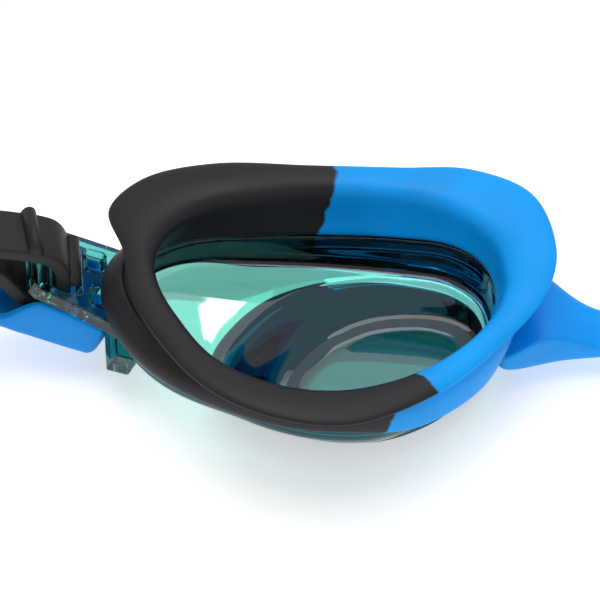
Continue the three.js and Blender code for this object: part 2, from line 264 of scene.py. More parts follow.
def smooth_over(made: bpy.types.Object, levels: int) -> None:
    """Gives an object a subdivision surface with the same levels in the view and the render."""
    surface = made.modifiers.new("smooth", "SUBSURF")
    surface.levels = surface.render_levels = levels


def evaluated_mesh(holder: bpy.types.Object) -> bmesh.types.BMesh:
    """The finished shape of a curve or of a mesh with modifiers.

    Args:
        holder: The object that makes the shape, which is removed.

    Returns:
        The shape as a mesh.
    """
    bpy.context.view_layer.update()
    graph = bpy.context.evaluated_depsgraph_get()
    mesh = bpy.data.meshes.new_from_object(holder.evaluated_get(graph))
    bpy.data.objects.remove(holder)
    bm = bmesh.new()
    bm.from_mesh(mesh)
    return bm


# ---- Finishes ------------------------------------------------------------------------------------


@dataclass(frozen=True)
class Nodes:
    """Shorthand for building a material's nodes."""

    tree: bpy.types.NodeTree

    def add(self, kind: str, **values: object) -> bpy.types.Node:
        """Adds a node and sets its fields and inputs.

        Args:
            kind: The node's type name.
            **values: Fields by their name, or inputs by their name with spaces as underscores.

        Returns:
            The new node.
        """
        node = self.tree.nodes.new(kind)
        for name, value in values.items():
            if hasattr(node, name):
                setattr(node, name, value)
            else:
                node.inputs[name.replace("_", " ")].default_value = value
        return node

    def link(self, source: Socket, target: Socket) -> None:
        """Links an output to an input."""
        self.tree.links.new(source, target)


def new_material(name: str) -> tuple[bpy.types.Material, Nodes, bpy.types.Node]:
    """An empty node material.

    Args:
        name: The material's name.

    Returns:
        The material, its node builder and its output node.
    """
    material = bpy.data.materials.new(name)
    material.use_nodes = True
    material.node_tree.nodes.clear()
    nodes = Nodes(material.node_tree)
    return material, nodes, nodes.add("ShaderNodeOutputMaterial")


def soft_grain_group() -> bpy.types.NodeTree:
    """The fine grain of moulded silicone, made once.

    Returns:
        A group that puts out the grain's height and a slight change of tone and gloss.
    """
    found = bpy.data.node_groups.get("soft_grain")
    if found:
        return found
    tree = bpy.data.node_groups.new("soft_grain", "ShaderNodeTree")
    tree.interface.new_socket("Scale", in_out="INPUT", socket_type="NodeSocketFloat").default_value = 1800.0
    for name in ("Height", "Tone", "Gloss"):
        tree.interface.new_socket(name, in_out="OUTPUT", socket_type="NodeSocketFloat")
    nodes = Nodes(tree)
    into, out = nodes.add("NodeGroupInput"), nodes.add("NodeGroupOutput")
    place = nodes.add("ShaderNodeTexCoord")
    fine = nodes.add("ShaderNodeTexNoise", Detail=3.0, Roughness=0.6)
    broad = nodes.add("ShaderNodeTexNoise", Scale=90.0, Detail=2.0)
    for noise in (fine, broad):
        nodes.link(place.outputs["Object"], noise.inputs["Vector"])
    nodes.link(into.outputs["Scale"], fine.inputs["Scale"])
    tone = nodes.add("ShaderNodeMapRange", From_Min=0.3, From_Max=0.7, To_Min=0.9, To_Max=1.08)
    gloss = nodes.add("ShaderNodeMapRange", From_Min=0.3, From_Max=0.7, To_Min=-0.05, To_Max=0.05)
    nodes.link(broad.outputs["Fac"], tone.inputs["Value"])
    nodes.link(broad.outputs["Fac"], gloss.inputs["Value"])
    nodes.link(fine.outputs["Fac"], out.inputs["Height"])
    nodes.link(tone.outputs["Result"], out.inputs["Tone"])
    nodes.link(gloss.outputs["Result"], out.inputs["Gloss"])
    return tree


def two_shot_group() -> bpy.types.NodeTree:
    """The split between a seal's two shots of silicone, made once.

    Returns:
        A group that puts out the share of the nose shot's colour, which wavers slightly along the split.
    """
    found = bpy.data.node_groups.get("two_shot")
    if found:
        return found
    tree = bpy.data.node_groups.new("two_shot", "ShaderNodeTree")
    tree.interface.new_socket("Nose", in_out="OUTPUT", socket_type="NodeSocketFloat")
    nodes = Nodes(tree)
    out = nodes.add("NodeGroupOutput")
    place = nodes.add("ShaderNodeTexCoord")
    split = nodes.add("ShaderNodeSeparateXYZ")
    nodes.link(place.outputs["Object"], split.inputs["Vector"])

    def ramp(source: Socket, a: float, b: float, c: float, d: float, smooth: bool = False) -> Socket:
        """Maps one range to another, held at its ends.

        Args:
            source: The value.
            a: Where the value's range starts.
            b: Where it ends.
            c: The result at the start.
            d: The result at the end.
            smooth: True eases in and out.

        Returns:
            The result.
        """
        node = nodes.add("ShaderNodeMapRange", From_Min=a, From_Max=b, To_Min=c, To_Max=d)
        node.interpolation_type = "SMOOTHSTEP" if smooth else "LINEAR"
        nodes.link(source, node.inputs["Value"])
        return node.outputs["Result"]

    def math_node(kind: str, a: Socket, b: Socket | float) -> Socket:
        """Works out one step of arithmetic.

        Args:
            kind: The operation.
            a: The first value.
            b: The second value, or a plain number.

        Returns:
            The result.
        """
        node = nodes.add("ShaderNodeMath", operation=kind)
        nodes.link(a, node.inputs[0])
        if isinstance(b, float):
            node.inputs[1].default_value = b
        else:
            nodes.link(b, node.inputs[1])
        return node.outputs[0]

    def blend_of(share: Socket, a: Socket, b: Socket) -> Socket:
        """Blends two values.

        Args:
            share: The second value's share.
            a: The value where the share is 0.
            b: The value where it is 1.

        Returns:
            The blended value.
        """
        node = nodes.add("ShaderNodeMix")
        nodes.link(share, node.inputs["Factor"])
        nodes.link(a, node.inputs["A"])
        nodes.link(b, node.inputs["B"])
        return node.outputs["Result"]

    eye = math_node("ABSOLUTE", split.outputs["X"], 0.0)
    nose_ward = math_node("MULTIPLY_ADD", eye, -1.0)
    nose_ward.node.inputs[2].default_value = EYE_X * MM
    brow = ramp(split.outputs["Z"], 0.0135, 0.0219, -0.0022, 0.0006)
    lip = ramp(split.outputs["Y"], (EYE_Y - 17) * MM, (EYE_Y - 13) * MM, 0.0147, 0.0108)
    band = ramp(split.outputs["Z"], 0.009, 0.0150, 0.0070, 0.0092)
    cheek = blend_of(ramp(split.outputs["Z"], 0.0175, 0.0185, 0.0, 1.0, True), band, lip)
    edge = blend_of(ramp(split.outputs["Y"], (EYE_Y - 3) * MM, (EYE_Y + 3) * MM, 0.0, 1.0), cheek, brow)
    waver = nodes.add("ShaderNodeTexNoise", Scale=420.0, Detail=2.0)
    nodes.link(place.outputs["Object"], waver.inputs["Vector"])
    edge = math_node("ADD", edge, ramp(waver.outputs["Fac"], 0.3, 0.7, -0.0003, 0.0003))
    beyond = math_node("SUBTRACT", nose_ward, edge)
    nodes.link(ramp(beyond, -0.0003, 0.0003, 0.0, 1.0, True), out.inputs["Nose"])
    return tree


@dataclass(frozen=True)
class Finish:
    """A named finish."""

    name: str

    def make(self) -> bpy.types.Material:
        """Builds the material."""
        raise NotImplementedError

    def material(self) -> bpy.types.Material:
        """The finish's material, which is built when it is first asked for."""
        return bpy.data.materials.get(self.name) or self.make()


@dataclass(frozen=True)
class Silicone(Finish):
    """Satin silicone or plastic with a fine moulded grain, in one colour or as a two-shot seal."""

    color: Color
    roughness: float = 0.42
    other: Color | None = None
    grain: float = 0.00002
    shine: float = 0.28

    def make(self) -> bpy.types.Material:
        """Builds the material.

        Returns:
            The material.
        """
        material, nodes, output = new_material(self.name)
        shader = nodes.add("ShaderNodeBsdfPrincipled", IOR=1.41, Specular_IOR_Level=self.shine)
        grain = nodes.add("ShaderNodeGroup", node_tree=soft_grain_group())
        base = nodes.add("ShaderNodeMix", data_type="RGBA")
        base.inputs["Factor"].default_value = 0.0
        base.inputs["A"].default_value = (*self.color, 1)
        base.inputs["B"].default_value = (*(self.other or self.color), 1)
        if self.other:
            shot = nodes.add("ShaderNodeGroup", node_tree=two_shot_group())
            nodes.link(shot.outputs["Nose"], base.inputs["Factor"])
        tone = nodes.add("ShaderNodeMix", data_type="RGBA", blend_type="MULTIPLY")
        tone.inputs["Factor"].default_value = 1.0
        nodes.link(base.outputs["Result"], tone.inputs["A"])
        nodes.link(grain.outputs["Tone"], tone.inputs["B"])
        nodes.link(tone.outputs["Result"], shader.inputs["Base Color"])
        gloss = nodes.add("ShaderNodeMath", operation="ADD")
        gloss.inputs[0].default_value = self.roughness
        nodes.link(grain.outputs["Gloss"], gloss.inputs[1])
        nodes.link(gloss.outputs[0], shader.inputs["Roughness"])
        bump = nodes.add("ShaderNodeBump", Strength=0.35, Distance=self.grain)
        nodes.link(grain.outputs["Height"], bump.inputs["Height"])
        nodes.link(bump.outputs["Normal"], shader.inputs["Normal"])
        nodes.link(shader.outputs["BSDF"], output.inputs["Surface"])
        return material


@dataclass(frozen=True)
class ClearShell(Finish):
    """Clear tinted polycarbonate, plain or behind a mirror coat, which also lets lamps through."""

    tint: Color
    mirror: float = 0.0
    roughness: float = 0.01
    shine: float = 0.5
    ior: float = 1.58

    def make(self) -> bpy.types.Material:
        """Builds the material.

        Returns:
            The material.
        """
        material, nodes, output = new_material(self.name)
        shader = nodes.add(
            "ShaderNodeBsdfPrincipled",
            Base_Color=(*self.tint, 1),
            Metallic=self.mirror,
            Transmission_Weight=1.0,
            Specular_IOR_Level=self.shine,
            IOR=self.ior,
        )
        haze = nodes.add("ShaderNodeTexNoise", Scale=35.0, Detail=3.0)
        place = nodes.add("ShaderNodeTexCoord")
        nodes.link(place.outputs["Object"], haze.inputs["Vector"])
        rough = {"To_Min": self.roughness, "To_Max": self.roughness + 0.02}
        gloss = nodes.add("ShaderNodeMapRange", From_Min=0.35, From_Max=0.75, **rough)
        nodes.link(haze.outputs["Fac"], gloss.inputs["Value"])
        nodes.link(gloss.outputs["Result"], shader.inputs["Roughness"])
        clear = (*((1 - self.mirror) * c**0.5 for c in self.tint), 1)
        through = nodes.add("ShaderNodeBsdfTransparent", Color=clear)
        path = nodes.add("ShaderNodeLightPath")
        mixed = nodes.add("ShaderNodeMixShader")
        nodes.link(path.outputs["Is Shadow Ray"], mixed.inputs["Fac"])
        nodes.link(shader.outputs["BSDF"], mixed.inputs[1])
        nodes.link(through.outputs["BSDF"], mixed.inputs[2])
        nodes.link(mixed.outputs["Shader"], output.inputs["Surface"])
        return material


BLACK = (0.017, 0.0165, 0.019)
BLUE = (0.0, 0.32, 0.86)
SEAL_FINISH = Silicone("silicone_two_shot", BLACK, other=BLUE)
BLUE_FINISH = Silicone("silicone_blue", BLUE)
COVER_FINISH = Silicone("plastic_blue", (0.0, 0.24, 0.70), roughness=0.38)
STRAP_FINISH = Silicone("silicone_strap_black", (0.019, 0.0175, 0.0165), roughness=0.5)
KEEPER_FINISH = Silicone("rubber_keeper_black", (0.017, 0.017, 0.018), roughness=0.5)
ARM_FINISH = ClearShell("polycarbonate_arm", (0.10, 0.50, 0.48))
FOOT_FINISH = ClearShell("polycarbonate_foot", (0.01, 0.20, 0.20))


class LensFinish(Enum):
    """The finishes of the lens's areas, in the order of its material slots."""

    CLEAR = ClearShell("polycarbonate_tinted", (0.26, 0.80, 0.66))
    COAT = ClearShell("polycarbonate_mirror_coat", (0.002, 0.11, 0.13), mirror=0.6)
    # Painted shadow: an opaque grey ring on the step round the inner disc, standing for the shade under the
    # lens's lifted edge seen through it.
    BEVEL = Silicone("painted_shadow_ring", (0.05, 0.075, 0.095), roughness=0.4)
    THIN_COAT = ClearShell("polycarbonate_thin_coat", (0.20, 0.62, 0.54), mirror=0.35)
    # Painted shade: a fully mirrored dark navy coat on the well's outer slope, standing for how dark the
    # steep well looks through the lens.
    WELL_PAINTED_SHADE = ClearShell("polycarbonate_well_painted_shade", (0.002, 0.06, 0.11), mirror=1.0)
    # Painted reflection: the far flank's coat is tinted almost black, as it would mirror the black seal
    # towards the temple.
    FAR_FLANK_PAINTED_DARK = ClearShell("polycarbonate_far_flank_painted_dark", (0.002, 0.04, 0.08), mirror=1.0)
    WELL = ClearShell("polycarbonate_well", (0.26, 0.80, 0.66), shine=0.12)
    # Painted reflection: the far flank's coat is tinted blue, as it would mirror the blue nose shot.
    FAR_FLANK_PAINTED_BLUE = ClearShell("polycarbonate_far_flank_painted_blue", (0.0, 0.16, 0.55), mirror=1.0)

    @property
    def slot(self) -> int:
        """The number of the finish's material slot."""
        return list(LensFinish).index(self)


class LensRing(IntEnum):
    """The first ring of each area of the lens, counted from the middle of its inner face."""

    # The painted shadow ring starts here.
    BEVEL = 3
    BEVEL_TOP = 4
    WELL = 6
    FACE = 10
    FLANK = 21
    SHOULDER = 26
    FRONT = 31
    FRONT_WELL = 33
    DISC = 37


# ---- Pieces --------------------------------------------------------------------------------------


@dataclass
class Piece:
    """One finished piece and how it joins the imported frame."""

    name: str
    slot: str
    finish: Finish
    stands_for: tuple[str, ...]

    def place(self, bm: bmesh.types.BMesh, side: Side | None, subdivide: int = 0) -> bpy.types.Object:
        """Turns a mesh in an eye's own millimetres into the finished object.

        Args:
            bm: The mesh, which is freed.
            side: The eye it belongs to, or None if it is already in the goggles' frame.
            subdivide: The levels of subdivision.

        Returns:
            The object.
        """
        if side is not None:
            bmesh.ops.translate(bm, vec=(-EYE_X, EYE_Y, 0), verts=bm.verts)
        if side is Side.RIGHT:
            bmesh.ops.scale(bm, vec=(-1, 1, 1), verts=bm.verts)
            bmesh.ops.reverse_faces(bm, faces=bm.faces)
        bmesh.ops.scale(bm, vec=(MM, MM, MM), verts=bm.verts)
        mesh = bpy.data.meshes.new(self.name)
        bm.to_mesh(mesh)
        bm.free()
        mesh.shade_smooth()
        made = new_object(self.name, mesh)
        mesh.materials.append(self.finish.material())
        if subdivide:
            smooth_over(made, subdivide)
        if self.stands_for:
            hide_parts(*self.stands_for)
        log.info("%s: %d faces", self.name, len(mesh.polygons))
        return made


@dataclass
class Eye:
    """The outlines that an eye's lens and seal are lofted from, in the left eye's own millimetres."""

    count: int = 144
    wall: list[Vector] = field(init=False)
    crest: list[Vector] = field(init=False)
    rim: list[Vector] = field(init=False)
    step: list[Vector] = field(init=False)
    floor: list[Vector] = field(init=False)
    optical_centre: Vector = field(default_factory=lambda: Vector((8, 0.6, 0)))

    def __post_init__(self) -> None:
        """Works the outlines out."""
        self.wall = ring_of(
            [
                (-28.6, 7.5), (-26.6, 12), (-20.5, 15.9), (-11, 17.5), (0, 18.1), (10, 17.5),
                (17.4, 15.9), (22, 12), (23.6, 6), (22.2, -0.8), (17.2, -7.2), (9.5, -11.8),
                (0, -13.2), (-9, -11.9), (-17, -8.4), (-23, -3.8), (-27, 1.7),
            ],
            self.count,
        )
        self.crest = ring_of(
            [
                (-25.3, 7.5), (-24, 12.5), (-19.5, 17), (-10.5, 19.2), (0, 20), (10, 19.4), (18, 17.2),
                (23, 12.5), (24.6, 5), (22.4, -2), (17.2, -8.7), (9.5, -13.7), (0.5, -15.9),
                (-8.2, -14.7), (-16.6, -9.9), (-21.9, -2.3), (-24.5, 3.2),
            ],
            self.count,
        )
        self.rim = ring_of(
            [
                (-30.2, 9.5), (-32.6, 17.5), (-27.8, 23.3), (-17.5, 25.9), (-3, 25.3), (10, 25.1),
                (20.5, 25.2), (29.3, 21), (32.4, 10.5), (30.3, 1.5), (24, -7.5), (14.6, -16.9),
                (2.5, -22.8), (-8, -21.7), (-17.5, -16.5), (-25, -7), (-29, 1.5),
            ],
            self.count,
        )
        self.step = ring_of(
            [
                (-15.6, -1.5), (-12.6, 4.5), (-8, 10.2), (-2.5, 13.8), (4, 15.7), (11, 16),
                (17.3, 14.5), (21.3, 11), (22.7, 5.5), (21.2, -0.9), (16.3, -6.9), (9, -11.1),
                (1, -12.4), (-5, -11.7), (-10, -9.9), (-13.6, -7.5), (-15.5, -4.4),
            ],
            self.count,
        )
        self.floor = ring_of(
            [
                (-7.2, -0.5), (-5.2, 3.2), (-2, 6.9), (1.6, 9.3), (5.7, 11.2), (11, 12), (16.8, 11.5),
                (20.6, 9.4), (22, 5), (20.5, -0.8), (16, -6.2), (9.5, -9.7), (3.5, -10.8), (-0.5, -10),
                (-4, -8), (-6.3, -5.6), (-7.3, -3),
            ],
            self.count,
        )

    @staticmethod
    def face_z(p: Vector) -> float:
        """Height of the wrapped face's inner side."""
        return 6.9 - 0.09 * p.x + 0.003 * p.x**2

    @staticmethod
    def seam_z(p: Vector) -> float:
        """Height of the side wall's top, where the seal begins."""
        return 13.3 - 0.02 * p.x + 0.002 * p.x**2

    @staticmethod
    def rim_z(p: Vector) -> float:
        """Height of the seal's lip."""
        return 21.9 - 0.0012 * (p.x + 4) ** 2

    @staticmethod
    def temple(p: Vector) -> float:
        """0 at the middle of the eye and 1 at its temple end."""
        return smoothstep(-p.x, 10, 30)

    @staticmethod
    def nose(p: Vector) -> float:
        """0 at the middle of the eye and 1 towards the nose."""
        return smoothstep(p.x, 4, 16)

    @staticmethod
    def shoulder(p: Vector) -> float:
        """How far the clear moulding widens under the seal's band, towards the temple."""
        return 2.6 * smoothstep(-p.x, 12, 26)

    @staticmethod
    def cheek(p: Vector) -> float:
        """0 at the middle of the eye and 1 along the cheek."""
        return smoothstep(-p.y, 3, 9)

    @staticmethod
    def apron(p: Vector) -> float:
        """How much further the seal's band reaches down between the nose and the cheek."""
        return 1.8 * smoothstep(p.x, 0, 14) * smoothstep(-p.y, 2, 8)

    def small(self, share: float) -> list[Vector]:
        """The floor's outline shrunk towards the optical centre."""
        return [p.lerp(self.optical_centre, share) for p in self.floor]


@dataclass
class Lens:
    """The clear moulding: optical face, stepped well, wrapped face and side wall, mirror-coated in front."""

    side: Side
    eye: Eye
    thick: float = 2.0
    wall: float = 1.6

    def inner_rows(self) -> list[list[Vector]]:
        """The rings from the middle of the inner face up to the top of the side wall.

        Returns:
            The rings in order.
        """
        e = self.eye
        inside = e.face_z
        return [
            lift(e.small(0.97), 2.0),
            lift(e.small(0.5), 2.0),
            lift(e.small(0.22), 2.0),
            lift(e.small(0.19), 2.03),
            lift(e.small(0.02), 2.5),
            lift(mix(e.floor, e.step, 0.02), 2.58),
            lift(mix(e.floor, e.step, 0.1), 2.8),
            lift(mix(e.floor, e.step, 0.35), lambda p: 2.9 + 0.36 * (inside(p) - 3.3)),
            lift(mix(e.floor, e.step, 0.7), lambda p: 2.9 + 0.72 * (inside(p) - 3.3)),
            lift(mix(e.floor, e.step, 0.93), drop(inside, 0.4)),
            lift(mix(e.floor, e.step, 0.98), drop(inside, 0.12)),
            lift(grow(e.step, 0.1), inside),
            lift(grow(e.step, 0.5), lambda p: inside(p) + 0.02),
            lift(mix(e.step, grow(e.wall, -1), 0.5), inside),
            lift(grow(e.wall, -1), lambda p: inside(p) + 0.1),
            lift(grow(e.wall, -0.3), lambda p: inside(p) + 0.35),
            lift(e.wall, lambda p: inside(p) + 0.9),
            lift(e.wall, lambda p: inside(p) + 2.0),
            lift(e.wall, drop(e.seam_z, 1.5)),
            lift(e.wall, drop(e.seam_z, 0.25)),
            lift(grow(e.wall, 0.2), e.seam_z),
        ]

    def flank_rows(self) -> list[list[Vector]]:
        """The rings down the outside of the side wall, over the shoulder under the seal's band.

        Returns:
            The rings in order.
        """
        e = self.eye
        inside, out = e.face_z, e.shoulder

        def tuck(p: Vector) -> float:
            """How far the flank is drawn in towards the nose and the cheek."""
            return e.nose(p) * e.cheek(p)

        return [
            lift(grow(e.wall, self.wall - 0.2), e.seam_z),
            lift(grow(e.wall, self.wall), drop(e.seam_z, 0.25)),
            lift(grow(e.wall, self.wall), drop(e.seam_z, 2.0)),
            lift(grow(e.wall, self.wall), drop(e.seam_z, 2.85)),
            lift(grow(e.wall, lambda p: self.wall + 0.5 * out(p)), drop(e.seam_z, 3.0)),
            lift(grow(e.wall, lambda p: self.wall + out(p) - 0.15), drop(e.seam_z, 3.1)),
            lift(grow(e.wall, lambda p: self.wall + out(p)), drop(e.seam_z, 3.3)),
            lift(
                grow(e.wall, lambda p: self.wall + 0.9 * out(p) - tuck(p)),
                lambda p: min(inside(p) + 0.6, e.seam_z(p) - 3.9),
            ),
            lift(grow(e.wall, lambda p: 1.3 + 1.15 * out(p) - tuck(p)), drop(inside, 0.5)),
            lift(grow(e.wall, lambda p: 0.6 + 1.2 * out(p) - 0.8 * tuck(p)), drop(inside, 1.35)),
        ]

    def front_rows(self) -> list[list[Vector]]:
        """The rings over the outer front, from its edge to its middle.

        Returns:
            The rings in order.
        """
        e = self.eye
        inside, nose = e.face_z, e.nose
        edge = grow(e.wall, lambda p: 0.3 + e.shoulder(p))
        lip = grow(e.step, lambda p: 1.1 - 0.8 * nose(p))
        return [
            lift(edge, drop(inside, 1.6)),
            lift(mix(lip, edge, 0.5), drop(inside, 1.9)),
            lift(lip, drop(inside, self.thick)),
            lift(mix(e.floor, lip, 0.85), lambda p: inside(p) - self.thick - 0.5),
            lift(grow(mix(e.floor, e.step, 0.35), lambda p: -0.4 * nose(p) - 0.5 * e.cheek(p)), 0.9),
            lift(grow(mix(e.floor, e.step, 0.05), lambda p: -0.6 * nose(p) - 0.8 * e.cheek(p)), 0.28),
            lift(e.small(0.05), 0.04),
            lift(e.small(0.12), 0.0),
            lift(e.small(0.5), 0.0),
            lift(e.small(0.97), 0.0),
        ]

    @staticmethod
    def finish_at(ring: int, middle: Vector) -> LensFinish:
        """The finish of one face.

        Args:
            ring: The first of the two rings that the face lies between.
            middle: The face's middle, in the left eye's own millimetres.

        Returns:
            The finish.
        """
        if ring >= LensRing.DISC:
            return LensFinish.COAT
        # Painted shade: the outer slope of the well is made opaque and dark.
        if ring >= LensRing.FRONT_WELL:
            return LensFinish.WELL_PAINTED_SHADE
        if ring >= LensRing.FRONT:
            return LensFinish.THIN_COAT
        # Painted reflection: far-side flank faces take the colour of what they would mirror, black towards
        # the temple and blue towards the nose.
        if ring >= LensRing.FLANK and middle.y > 0:
            return LensFinish.FAR_FLANK_PAINTED_DARK if middle.x < -3 else LensFinish.FAR_FLANK_PAINTED_BLUE
        if ring >= LensRing.SHOULDER:
            return LensFinish.COAT
        if ring < LensRing.BEVEL or LensRing.WELL <= ring < LensRing.FACE:
            return LensFinish.WELL
        # Painted shadow: the step round the inner disc gets the opaque grey ring that stands for the shade
        # under the lifted edge.
        if ring < LensRing.BEVEL_TOP:
            return LensFinish.BEVEL
        return LensFinish.CLEAR

    def build(self) -> bpy.types.Object:
        """Builds the lens and makes it ride on its side.

        Returns:
            The lens.
        """
        rows = [*self.inner_rows(), *self.flank_rows(), *self.front_rows()]
        bm = loft(rows, closed=False)
        bm.verts.index_update()
        for face in bm.faces:
            ring = min(vert.index // self.eye.count for vert in face.verts)
            face.material_index = self.finish_at(ring, face.calc_center_median()).slot
        word = self.side.word
        first, *others = (finish.value for finish in LensFinish)
        piece = Piece(f"lens_shell_{word}", "clear_green_polycarbonate", first, (f"lens_{word}",))
        made = piece.place(bm, self.side, 1)
        for finish in others:
            made.data.materials.append(finish.material())
        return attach(made, self.side.body)


@dataclass
class StrapArm:
    """The clear ladder arm at the temple, which the strap is threaded round."""

    side: Side
    root: Vector = field(default_factory=lambda: Vector((-29, 10.2, 10)))
    rise: float = math.radians(28)
    lean: float = math.radians(5)
    low: float = -1.0
    high: float = 1.2
    rounding: float = 0.25
    holes: tuple[tuple[float, ...], ...] = (
        # low x, low y, high x, high y, corner radius: two windows at the root, then two slots for the strap
        (4.9, 1.4, 8, 5, 0.6),
        (4.5, -5, 7.4, -1.4, 0.6),
        (9.2, -4.5, 13.7, 4.6, 0.8),
        (14.7, -4, 15.6, 4.4, 0.4),
    )

    def place(self) -> Matrix:
        """The move from the arm's own frame, with x outwards and z up from its plate, to the left eye's.

        Returns:
            The move.
        """
        outwards = Matrix.Diagonal((-1, 1, 1, 1))
        turn = Matrix.Rotation(self.lean, 4, "Z") @ Matrix.Rotation(self.rise, 4, "Y")
        return Matrix.Translation(self.root) @ turn @ outwards

    @staticmethod
    def rounded(x0: float, y0: float, x1: float, y1: float, r: float) -> list[Vector]:
        """A rounded rectangle in plan."""
        section = round_section(0, x0, x1, y0, y1, r)
        return [Vector((p.y, p.z, 0)) for p in section]

    def outline(self) -> list[Vector]:
        """The plate's outline, with its near edge running in towards the end.

        Returns:
            The outline, in the arm's own frame.
        """
        near = (
            (-2, -10.5), (2.6, -9.2), (5, -8.2), (8, -7.3), (11, -6.5), (14.2, -5.8), (16, -5.4),
            (16.8, -4.6), (17, -3.2),
        )
        far = ((17, 4.6), (16.8, 6), (15.9, 7), (14, 7.4), (8, 7), (2, 6.6), (-2, 6.2))
        return [Vector((x, y, 0)) for x, y in (*near, *far)]

    @staticmethod
    def add_foot(bm: bmesh.types.BMesh) -> None:
        """Adds the block at the arm's root.

        Args:
            bm: The arm's mesh, in its own frame.
        """
        made = bmesh.ops.create_cube(bm, size=1)["verts"]
        bmesh.ops.scale(bm, vec=(3.6, 17.2, 3.8), verts=made)
        bmesh.ops.translate(bm, vec=(1.2, -3.4, -2.9), verts=made)
        edges = list({edge for vert in made for edge in vert.link_edges})
        for face in {face for vert in made for face in vert.link_faces}:
            face.material_index = 1
        bmesh.ops.bevel(bm, geom=edges, offset=0.35, segments=3, profile=0.5, affect="EDGES", material=-1)

    def build(self) -> bpy.types.Object:
        """Builds the arm from its flat outline with rounded edges.

        Returns:
            The arm.
        """
        flat = bpy.data.curves.new("arm_outline", "CURVE")
        flat.dimensions = "2D"
        flat.fill_mode = "BOTH"
        flat.extrude = (self.high - self.low) / 2 - self.rounding
        flat.bevel_depth = self.rounding
        flat.bevel_resolution = 3
        flat.offset = -self.rounding
        for ring in (self.outline(), *(self.rounded(*hole) for hole in self.holes)):
            line = flat.splines.new("POLY")
            line.points.add(len(ring) - 1)
            for point, p in zip(line.points, ring):
                point.co = (*p, 1)
            line.use_cyclic_u = True
        bm = evaluated_mesh(new_object("arm_outline", flat))
        bmesh.ops.remove_doubles(bm, verts=bm.verts, dist=0.001)
        bmesh.ops.translate(bm, vec=(0, 0, (self.high + self.low) / 2), verts=bm.verts)
        self.add_foot(bm)
        bmesh.ops.transform(bm, matrix=self.place(), verts=bm.verts)
        bmesh.ops.recalc_face_normals(bm, faces=bm.faces)
        piece = Piece(f"strap_arm_{self.side.word}", "clear_green_polycarbonate", ARM_FINISH, ())
        made = piece.place(bm, self.side)
        made.data.shade_flat()
        made.data.materials.append(FOOT_FINISH.material())
        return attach(made, self.side.body)


@dataclass
class Seal:
    """The flared two-shot seal round one eye."""

    side: Side
    eye: Eye
    grip: float = 1.6
    cut_x: float = 6.0
    cut_turn: float = math.radians(18)
    lip: tuple[tuple[float, float], ...] = (
        # share of the way from the crest to the rim, depth under the lip's top
        (0.04, 1.5), (0.17, 0.6), (0.34, 0.15), (0.55, 0.0), (0.78, 0.1), (0.94, 0.4), (1.0, 0.7),
        (1.0, 0.95), (0.96, 1.25), (0.8, 1.6), (0.6, 2.1),
    )

    def flared(self, by: float, more: float) -> list[Vector]:
        """The wall's outline grown by a distance, and by more of it towards the temple."""
        return grow(self.eye.wall, lambda p: by + more * self.eye.temple(p))

    def rows(self) -> list[list[Vector]]:
        """The rings round the seal's section: up the inside, over the lip, down the neck and round the band.

        Returns:
            The rings in order.
        """
        e = self.eye

        def up(share: float) -> Callable[[Vector], float]:
            """Height on the inner wall, from the seam to just below the lip."""
            return lambda p: e.seam_z(p) + 0.3 + share * (e.rim_z(p) - 2.2 - e.seam_z(p))

        def low(by: float) -> Callable[[Vector], float]:
            """Height of the band's lower edge."""
            return lambda p: e.seam_z(p) - by - e.apron(p)

        return [
            lift(grow(e.wall, -0.1), up(0)),
            lift(grow(e.wall, -0.1), up(0.08)),
            lift(mix(e.wall, e.crest, 0.3), up(0.3)),
            lift(mix(e.wall, e.crest, 0.65), up(0.6)),
            lift(mix(e.wall, e.crest, 0.9), up(0.85)),
            *(lift(mix(e.crest, e.rim, share), drop(e.rim_z, by)) for share, by in self.lip),
            lift(self.flared(2.9, -1.3), drop(e.rim_z, 4.2)),
            lift(self.flared(2.3, -0.8), drop(e.seam_z, -2.4)),
            lift(self.flared(2.6, 0.2), drop(e.seam_z, -1.3)),
            lift(self.flared(3.1, 1.0), drop(e.seam_z, -0.4)),
            lift(self.flared(3.3, 1.7), drop(e.seam_z, 0.8)),
            lift(self.flared(3.3, 1.8), low(2.0)),
            lift(self.flared(3.1, 1.8), low(2.5)),
            lift(self.flared(2.8, 1.8), low(2.6)),
            lift(self.flared(self.grip + 0.1, 0.0), low(2.6)),
            lift(self.flared(self.grip + 0.1, 0.0), drop(e.seam_z, -0.3)),
        ]

    def shot(self, whole: bmesh.types.BMesh, name: str, slot: str, node: str, nose: bool) -> bpy.types.Object:
        """Cuts one shot of silicone off the whole ring and finishes it.

        Args:
            whole: The smoothed ring, which is left as it is.
            name: The piece's name.
            slot: The slot name, which the piece keeps but nothing uses.
            node: The node it stands for.
            nose: True for the nose side of the cut.

        Returns:
            The piece.
        """
        bm = whole.copy()
        cut = bmesh.ops.bisect_plane(
            bm,
            geom=[*bm.verts, *bm.edges, *bm.faces],
            dist=1e-5,
            plane_co=(self.cut_x, 0, 0),
            plane_no=(math.cos(self.cut_turn), math.sin(self.cut_turn), 0),
            clear_inner=nose,
            clear_outer=not nose,
        )
        rims = [part for part in cut["geom_cut"] if isinstance(part, bmesh.types.BMEdge)]
        bmesh.ops.holes_fill(bm, edges=rims, sides=ANY_SIDES)
        for edge in rims:
            edge.smooth = False
        piece = Piece(name, slot, SEAL_FINISH, (node,))
        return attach(piece.place(bm, self.side), self.side.body)

    def build(self) -> list[bpy.types.Object]:
        """Builds both shots of the seal.

        Returns:
            The temple half and the nose half.
        """
        rough = bpy.data.meshes.new("seal_ring")
        bm = loft(self.rows(), closed=True)
        bm.to_mesh(rough)
        bm.free()
        holder = new_object("seal_ring", rough)
        smooth_over(holder, 1)
        whole = evaluated_mesh(holder)
        word = self.side.word
        made = [
            self.shot(whole, f"seal_temple_half_{word}", "black_silicone", f"seal_outer_{word}", nose=False),
            self.shot(whole, f"seal_nose_half_{word}", "blue_silicone", f"seal_nose_{word}", nose=True),
        ]
        whole.free()
        return made


